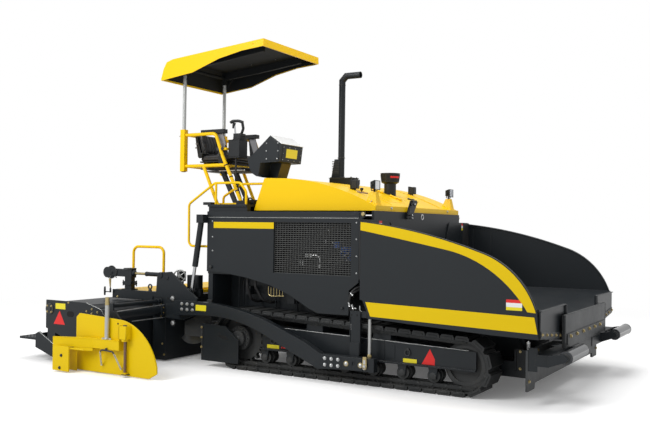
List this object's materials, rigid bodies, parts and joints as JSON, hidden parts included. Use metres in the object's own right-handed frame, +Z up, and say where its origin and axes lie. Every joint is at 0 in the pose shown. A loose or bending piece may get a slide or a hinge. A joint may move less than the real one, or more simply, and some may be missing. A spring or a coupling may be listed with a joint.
{
  "type": "asphalt paver",
  "caption": "Tracked asphalt paver: folding hopper wings, slat conveyors, spreading augers and a floating screed with sliding extensions, with a canopied operator's station",
  "frame": {"origin": "on the ground, at the middle of the machine's length and width", "axes": "+X forward to the hopper, +Y to the machine's left, +Z up"},
  "size_m": [5.86, 4.8, 3.4408],
  "materials": {
    "black_paint": "satin black-grey machine paint",
    "yellow_paint": "glossy deep yellow paint",
    "wing_paint": "satin black-grey with a deep yellow band along the crown and the lower edge",
    "track_steel": "dark steel, painted black and worn at the edges",
    "roller_steel": "dark turned steel",
    "chrome": "hard chromed rods",
    "zinc": "bright galvanised square tube",
    "black_plastic": "black moulded plastic",
    "seat_fabric": "black coated seat cover"
  },
  "bodies": {
    "tractor": {"air_intake": "black_plastic", "auger_frame": "black_paint", "body_frame": "black_paint", "bulkhead": "black_paint", "console": "black_paint", "conveyors": "track_steel", "deck": "black_paint", "deck_rails": "yellow_paint", "deflectors": "black_paint", "exhaust": "black_paint", "hood": "yellow_paint", "hopper_front": "black_paint", "hoses": "black_plastic", "hull": "black_paint", "inner_units": "track_steel", "operator_controls": "black_plastic", "push_beam": "black_paint", "rear_panel": "black_paint", "seat_back": "seat_fabric", "seat_base": "black_plastic", "seat_cushion": "seat_fabric", "side_panels": "black_paint", "side_screens": "black_paint", "station_frame": "yellow_paint", "tow_guides": "black_paint", "track_frames": "black_paint", "track_left": "track_steel", "track_right": "track_steel", "track_wheels": "track_steel", "wing_hinge_pins": "black_paint", "work_lamps": "black_plastic"},
    "wing_left": {"wing_left": "wing_paint"},
    "wing_right": {"wing_right": "wing_paint"},
    "wing_barrel_left": {"wing_barrel_left": "black_paint"},
    "wing_barrel_right": {"wing_barrel_right": "black_paint"},
    "wing_rod_left": {"wing_rod_left": "chrome"},
    "wing_rod_right": {"wing_rod_right": "chrome"},
    "push_roller_left": {"push_roller_left": "roller_steel"},
    "push_roller_right": {"push_roller_right": "roller_steel"},
    "auger_left": {"auger_left": "track_steel"},
    "auger_right": {"auger_right": "track_steel"},
    "hood_lid": {"hood_lid": "yellow_paint"},
    "canopy": {"canopy": "yellow_paint", "canopy_frame": "zinc"},
    "tow_carriages": {"tow_carriages": "black_paint"},
    "screed": {"tow_arms": "black_paint", "screed_box": "black_paint", "screed_brackets": "black_paint", "screed_deck": "yellow_paint", "screed_rails": "yellow_paint", "height_jacks": "black_paint"},
    "lift_barrel_left": {"lift_barrel_left": "black_paint"},
    "lift_barrel_right": {"lift_barrel_right": "black_paint"},
    "lift_rod_left": {"lift_rod_left": "chrome"},
    "lift_rod_right": {"lift_rod_right": "chrome"},
    "extension_left": {"extension_left": "black_paint"},
    "extension_right": {"extension_right": "black_paint"},
    "end_gate_left": {"end_gate_left": "yellow_paint"},
    "end_gate_right": {"end_gate_right": "yellow_paint"}
  },
  "joints": [
    {"name": "wing_left_fold", "type": "hinge", "parent": "tractor", "child": "wing_left", "pos_m": [1.842, 0.575, 0.6], "axis": [1, 0, 0], "range_deg": [0, 50]},
    {"name": "wing_barrel_left_swing", "type": "hinge", "parent": "tractor", "child": "wing_barrel_left", "pos_m": [2.38, 0.61, 0.35], "axis": [1, 0, 0], "range_deg": [-1, 37.4]},
    {"name": "wing_rod_left_stroke", "type": "slide", "parent": "wing_barrel_left", "child": "wing_rod_left", "axis": [0, 0.8192, 0.5735], "range_m": [-0.005, 0.156]},
    {"name": "push_roller_left_turn", "type": "hinge", "parent": "tractor", "child": "push_roller_left", "pos_m": [2.875, 0.95, 0.43], "axis": [0, 1, 0], "continuous": true},
    {"name": "auger_left_turn", "type": "hinge", "parent": "tractor", "child": "auger_left", "pos_m": [-1.225, 0.655, 0.37], "axis": [0, 1, 0], "continuous": true},
    {"name": "wing_right_fold", "type": "hinge", "parent": "tractor", "child": "wing_right", "pos_m": [1.842, -0.575, 0.6], "axis": [-1, 0, 0], "range_deg": [0, 50]},
    {"name": "wing_barrel_right_swing", "type": "hinge", "parent": "tractor", "child": "wing_barrel_right", "pos_m": [2.38, -0.61, 0.35], "axis": [-1, 0, 0], "range_deg": [-1, 37.4]},
    {"name": "wing_rod_right_stroke", "type": "slide", "parent": "wing_barrel_right", "child": "wing_rod_right", "axis": [0, -0.8192, 0.5735], "range_m": [-0.005, 0.156]},
    {"name": "push_roller_right_turn", "type": "hinge", "parent": "tractor", "child": "push_roller_right", "pos_m": [2.875, -0.95, 0.43], "axis": [0, 1, 0], "continuous": true},
    {"name": "auger_right_turn", "type": "hinge", "parent": "tractor", "child": "auger_right", "pos_m": [-1.225, -0.655, 0.37], "axis": [0, 1, 0], "continuous": true},
    {"name": "tow_points_lift", "type": "slide", "parent": "tractor", "child": "tow_carriages", "axis": [0, 0, 1], "range_m": [0, 0.15]},
    {"name": "screed_lift", "type": "hinge", "parent": "tow_carriages", "child": "screed", "pos_m": [1.055, 0, 0.212], "axis": [0, 1, 0], "range_deg": [0, 5.5]},
    {"name": "lift_barrel_left_swing", "type": "hinge", "parent": "tractor", "child": "lift_barrel_left", "pos_m": [-1.045, 1.226, 1.569], "axis": [0, 1, 0], "range_deg": [-3.54, 0.5]},
    {"name": "lift_rod_left_stroke", "type": "slide", "parent": "lift_barrel_left", "child": "lift_rod_left", "axis": [0.1563, 0, 0.9877], "range_m": [-0.004, 0.221]},
    {"name": "extension_left_slide", "type": "slide", "parent": "screed", "child": "extension_left", "axis": [0, 1, 0], "range_m": [-0.68, 0.25]},
    {"name": "end_gate_left_lift", "type": "slide", "parent": "extension_left", "child": "end_gate_left", "axis": [0, 0, 1], "range_m": [0, 0.08]},
    {"name": "lift_barrel_right_swing", "type": "hinge", "parent": "tractor", "child": "lift_barrel_right", "pos_m": [-1.045, -1.226, 1.569], "axis": [0, 1, 0], "range_deg": [-3.54, 0.5]},
    {"name": "lift_rod_right_stroke", "type": "slide", "parent": "lift_barrel_right", "child": "lift_rod_right", "axis": [0.1563, 0, 0.9877], "range_m": [-0.004, 0.221]},
    {"name": "extension_right_slide", "type": "slide", "parent": "screed", "child": "extension_right", "axis": [0, -1, 0], "range_m": [-0.68, 0.25]},
    {"name": "end_gate_right_lift", "type": "slide", "parent": "extension_right", "child": "end_gate_right", "axis": [0, 0, 1], "range_m": [0, 0.08]},
    {"name": "canopy_lower", "type": "slide", "parent": "tractor", "child": "canopy", "axis": [0, 0, 1], "range_m": [-0.4, 0]},
    {"name": "hood_lid_open", "type": "hinge", "parent": "tractor", "child": "hood_lid", "pos_m": [0.47, -0.1575, 1.92733], "axis": [-0.9429, 0, 0.333], "range_deg": [0, 80]}
  ],
  "couplings": [
    {"joint": "wing_barrel_left_swing", "follows": "wing_left_fold", "ratio": 0.7271},
    {"joint": "wing_rod_left_stroke", "follows": "wing_left_fold", "m_per_rad": 0.1735},
    {"joint": "wing_barrel_right_swing", "follows": "wing_right_fold", "ratio": 0.7271},
    {"joint": "wing_rod_right_stroke", "follows": "wing_right_fold", "m_per_rad": 0.1735},
    {"joint": "lift_barrel_left_swing", "follows": "screed_lift", "ratio": -0.5524},
    {"joint": "lift_rod_left_stroke", "follows": "screed_lift", "m_per_rad": 2.2641},
    {"joint": "lift_barrel_right_swing", "follows": "screed_lift", "ratio": -0.5524},
    {"joint": "lift_rod_right_stroke", "follows": "screed_lift", "m_per_rad": 2.2641}
  ]
}
